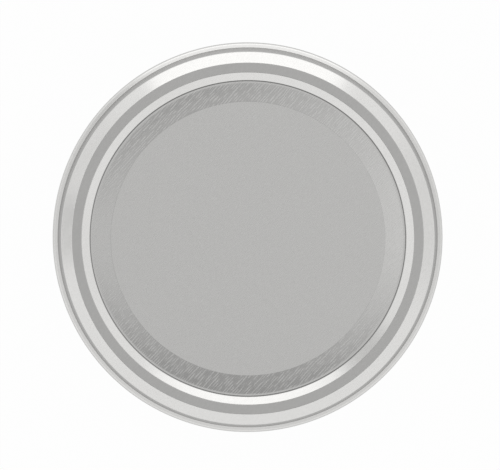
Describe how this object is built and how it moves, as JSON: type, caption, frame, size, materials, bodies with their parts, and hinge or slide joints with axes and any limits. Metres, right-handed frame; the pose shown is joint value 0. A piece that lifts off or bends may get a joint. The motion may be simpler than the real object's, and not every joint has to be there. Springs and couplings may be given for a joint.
{
  "type": "jar lid",
  "caption": "Round stamped-metal twist-off lid for a glass jar, with rolled curl, inward lugs and a sealing ring in its channel.",
  "frame": {"origin": "centre of the circle that the curl stands on, open side down", "axes": "+Z is the lid's axis, from the open side towards the panel; +X points through the middle of one lug"},
  "size_m": [0.0848, 0.0848, 0.01],
  "materials": {
    "tinplate": "satin rolled tinplate with a fine straight grain",
    "sealing_compound": "smooth matt compound"
  },
  "bodies": {
    "root": {"lid_shell": "tinplate", "sealing_gasket": "sealing_compound"}
  },
  "joints": []
}
